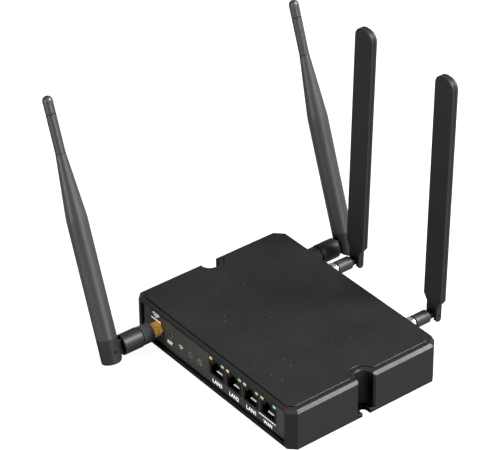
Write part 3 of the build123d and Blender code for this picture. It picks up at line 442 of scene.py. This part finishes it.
for number, x in zip((3, 2, 1), port_x):
    legend(f"port_legend_{number}", f"LAN{number}", 0.0098, 0.0031, x + 0.0003, 0.0060)
legend("port_legend_wide", "WAN", 0.0086, 0.0029, port_x[3] - 0.0003, 0.0053)
band("port_line_wide", 0.0168, 0.0006, port_x[3] - 0.0008, 0.0091)
legend("reset_legend", "RST", 0.0056, 0.0025, reset_x - 0.0004, 0.0092)
for i, radius in enumerate((0.0014, 0.0031, 0.0048)):
    hoop(f"aerial_mark_{i + 1}", radius, 0.0010, aerial_x, aerial_z, keep=52)
band("aerial_line", 0.0104, 0.0012, aerial_x, aerial_z - 0.0014)
hoop("status_mark_middle", 0.0022, 0.0005, status_x[1], status_z, material=faint_ink)
hoop("status_mark_right", 0.0024, 0.0010, status_x[2], status_z, material=faint_ink)
for i, radius in enumerate((0.0010, 0.0022, 0.0034)):
    hoop(f"status_mark_left_{i + 1}", radius, 0.0007, status_x[0] - 0.0002, status_z - 0.0016,
         keep=48, material=pale_ink)
hoop("reset_ring", 0.0022, 0.0004, reset_x, reset_z, material=faint_ink)

smoked_pipe = finish("smoked_pipe", {"Coat Weight": 0.3},
                     window((0.030, 0.032, 0.026), (0.055, 0.058, 0.040), status_z))
cover(smoked_pipe, "light_pipes")


# ---------------------------------------------------------------- reset button
# A small grey acetal pin behind a hole in the front panel. Its collar keeps it in, and the tactile
# switch behind it pushes it back.
button_acetal = finish("button_acetal", {},
                       moulded((0.030, 0.031, 0.028), (0.050, 0.052, 0.046), 0.4,
                               0.0003, 0.00002, 0.0002))
cover(button_acetal, "reset_button")


# ---------------------------------------------------------------- card tray and power inlet
# The tray for the subscriber card and the barrel inlet sit in the rear panel. The tray is black
# nylon with a finger lip; the inlet is a nylon block round a gold-plated pin.
cover(jack_nylon, "sim_tray", "power_socket")


def card_face(place):
    """White card stock with a faint mottle and a slightly glossy face."""
    mottle = place.noise(0.0015, 3.0)
    return {"Base Color": mottle.tint((0.62, 0.62, 0.60), (0.80, 0.80, 0.78)),
            "Roughness": 0.35 + mottle * 0.1, "Normal": place.bump(mottle, 0.00001)}


cover(finish("card_stock", {}, card_face), "sim_card")


# ---------------------------------------------------------------- top cover
# One black ABS moulding makes the top and both sides, with a fine spark-eroded grain, a slightly
# raised middle and an upright pocket in each side. It drops over the panels and the base.
# The pockets and hollows of the cover are painted dark as shade, by occlusion reaching 40 mm over its own
# walls.
case_plastic = finish("case_plastic", {"Specular IOR Level": 0.25},
                      moulded((0.0045, 0.0045, 0.0045), (0.0150, 0.0150, 0.0150), 0.45,
                              0.0007, 0.00006, 0.00025, dust=0.07, mottle=0.5, reach=0.04, alone=True))
cover(case_plastic, "top_cover")


# ---------------------------------------------------------------- antenna sockets
# Four threaded brass sockets stick out of the panels, gold over nickel, each clamped by a flat
# hexagonal nut outside and a toothed washer inside.
# The sockets, nuts and whip couplings glow a little as painted light, on top of their painted facet
# highlights.
socket_gold = finish("socket_gold", {"Metallic": 0.9, "Coat Weight": 0.4, "Emission Strength": 0.22},
                     gilt_with_painted_glints((0.38, 0.15, 0.008), (1.00, 0.64, 0.15), 0.24))
# The paddle couplings get a paler copy of the same gold as a painted highlight.
highlight_pale_gold = finish("highlight_pale_gold", {"Metallic": 1.0}, gilt_with_painted_glints((0.82, 0.70, 0.50), (1.00, 0.94, 0.80), 0.30))
cover(socket_gold, "antenna_sockets", "socket_nuts", "front_whip_coupling", "rear_whip_coupling")
cover(highlight_pale_gold, "left_paddle_coupling", "right_paddle_coupling")


# ---------------------------------------------------------------- whip antennas
# Each whip is a tapered radome of black plastic pressed on a forked base, which folds on a blacked
# steel pin in a round sleeve. The sleeve swivels on a brass coupling with a knurled plastic grip.
whip_plastic = finish("whip_plastic", {"Specular IOR Level": 0.68},
                      moulded((0.013, 0.0133, 0.0137), (0.027, 0.0277, 0.0284), 0.43,
                              0.0005, 0.00003, 0.0003, reach=0.003))
elbow_plastic = finish("elbow_plastic", {"Specular IOR Level": 0.28},
                       moulded((0.008, 0.0083, 0.0086), (0.017, 0.0174, 0.0178), 0.48,
                               0.0005, 0.00003, 0.0003, reach=0.004))


def knurled(x, z):
    """Two crossed sets of grooves round an axis along Y through x and z, their crests painted pale in patches
    as glints.
    """
    grooves, radius, glint_line = 32.0, 0.0066, 0.80

    def drawn(place):
        apart = place.node("SeparateXYZ", {}, {"Vector": place}, 0)
        along = place.node("SeparateXYZ", {}, {"Vector": place}, 1)
        above = place.node("SeparateXYZ", {}, {"Vector": place}, 2)
        turned = place.math("ARCTAN2", apart - x, above - z) * grooves
        slope = along * (grooves / radius)
        first = place.math("SINE", turned + slope, 0.0)
        second = place.math("SINE", turned - slope, 0.0)
        crest = first * 0.25 + second * 0.25 + 0.5
        rub = place.noise(0.0009, 3.0)
        # Painted glints: the highest crests are painted pale in patches.
        worn = (crest > glint_line) * rub
        return {"Base Color": worn.tint((0.009, 0.0093, 0.0096), (0.120, 0.122, 0.125)),
                "Roughness": 0.52 - worn * 0.14, "Normal": place.bump(crest, 0.00018, 0.0002)}

    return drawn


for whip in ("front_whip", "rear_whip"):
    cover(whip_plastic, f"{whip}_radome", f"{whip}_tip")
    cover(elbow_plastic, f"{whip}_sleeve", f"{whip}_base", f"{whip}_pin")
    cover(contact_gold, f"{whip}_element")
    low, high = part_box(f"{whip}_grip")
    knurl = finish(f"{whip}_knurl", {"Specular IOR Level": 0.22},
                   knurled((low.x + high.x) / 2, (low.z + high.z) / 2))
    cover(knurl, f"{whip}_grip")


# ---------------------------------------------------------------- paddle antennas
# Each paddle is two flat shells of matt black plastic welded round a thin aerial board. Its ears
# fold on a blacked steel pin in a round barrel, which swivels on the brass coupling.
paddle_plastic = finish("paddle_plastic", {"Specular IOR Level": 0.22},
                        moulded((0.0070, 0.0070, 0.0073), (0.0190, 0.0190, 0.0193), 0.55,
                                0.0006, 0.00004, 0.0003, dust=0.3, mottle=0.5, reach=0.004))
barrel_plastic = finish("barrel_plastic", {"Specular IOR Level": 0.35},
                        moulded((0.010, 0.0103, 0.0106), (0.020, 0.0204, 0.0208), 0.48,
                                0.0005, 0.00003, 0.0003))
for paddle in ("left_paddle", "right_paddle"):
    cover(paddle_plastic, f"{paddle}_front", f"{paddle}_back")
    cover(barrel_plastic, f"{paddle}_barrel", f"{paddle}_pin")
    cover(board_green, f"{paddle}_board")


# ---------------------------------------------------------------- studio
# A pale floor, one strong soft box high behind the right shoulder of the object, weak ones in front,
# at the right and overhead, and a dim sky that is bright only where it is looked at.
def floor_paper(place):
    """White seamless paper, overexposed where the camera looks straight at it."""
    fibre = place.noise(0.02, 3.0)
    looked_at = place.node("LightPath", {}, {}, "Is Camera Ray")
    return {"Base Color": fibre.tint((0.19, 0.19, 0.19), (0.22, 0.22, 0.22)),
            "Emission Color": looked_at.tint((0.03, 0.03, 0.03), (0.92, 0.92, 0.92))}


bpy.ops.mesh.primitive_plane_add(size=8, location=(0, 0, -0.0002))
floor = bpy.context.object
floor.name = "floor"
floor.data.materials.append(finish("floor_paper", {"Roughness": 0.9, "Specular IOR Level": 0.1,
                                                   "Emission Strength": 1.0}, floor_paper))

aim = Vector((0, 0, 0.05))
for name, way, distance, size, power in (
        ("back_box", (0.49, 0.505, 0.71), 1.3, 0.5, 48.0),
        ("front_box", (-0.04, -1.00, 0.22), 1.4, 0.5, 13.0),
        ("right_box", (1.00, 0.08, 0.14), 1.4, 0.4, 6.5),
        ("top_box", (0.15, -0.45, 0.85), 1.6, 1.2, 7.0)):
    lamp = bpy.data.lights.new(name, "AREA")
    lamp.shape, lamp.size, lamp.energy = "SQUARE", size, power
    stand = bpy.data.objects.new(name, lamp)
    stand.location = aim + Vector(way).normalized() * distance
    stand.rotation_mode = "QUATERNION"
    stand.rotation_quaternion = (stand.location - aim).to_track_quat("Z", "Y")
    bpy.context.scene.collection.objects.link(stand)

dim = 0.25
world = bpy.data.worlds.new("sky")
bpy.context.scene.world = world
world.use_nodes = True
background = world.node_tree.nodes["Background"]
background.inputs["Color"].default_value = (1, 1, 1, 1)
seen = Wire(world.node_tree).node("LightPath", {}, {}, "Is Camera Ray")
world.node_tree.links.new((seen * (1 - dim) + dim).socket, background.inputs["Strength"])
bpy.context.scene.view_settings.view_transform = "Standard"

azimuth, height, roll = radians(52.56), radians(33.90), radians(-0.85)
back = Vector((sin(azimuth) * cos(height), -cos(azimuth) * cos(height), sin(height)))
level = Vector((cos(azimuth), sin(azimuth), 0))
upward = back.cross(level)
right = cos(roll) * level + sin(roll) * upward
top = back.cross(right)
camera_place = Matrix.Translation((1.01177, -0.80156, 0.96853))
camera_data = bpy.data.cameras.new("camera")
camera_data.sensor_width, camera_data.lens = 36.0, 178.15
camera = bpy.data.objects.new("camera", camera_data)
bpy.context.scene.collection.objects.link(camera)
camera.matrix_world = camera_place @ Matrix((right, top, back)).transposed().to_4x4()
bpy.context.scene.camera = camera
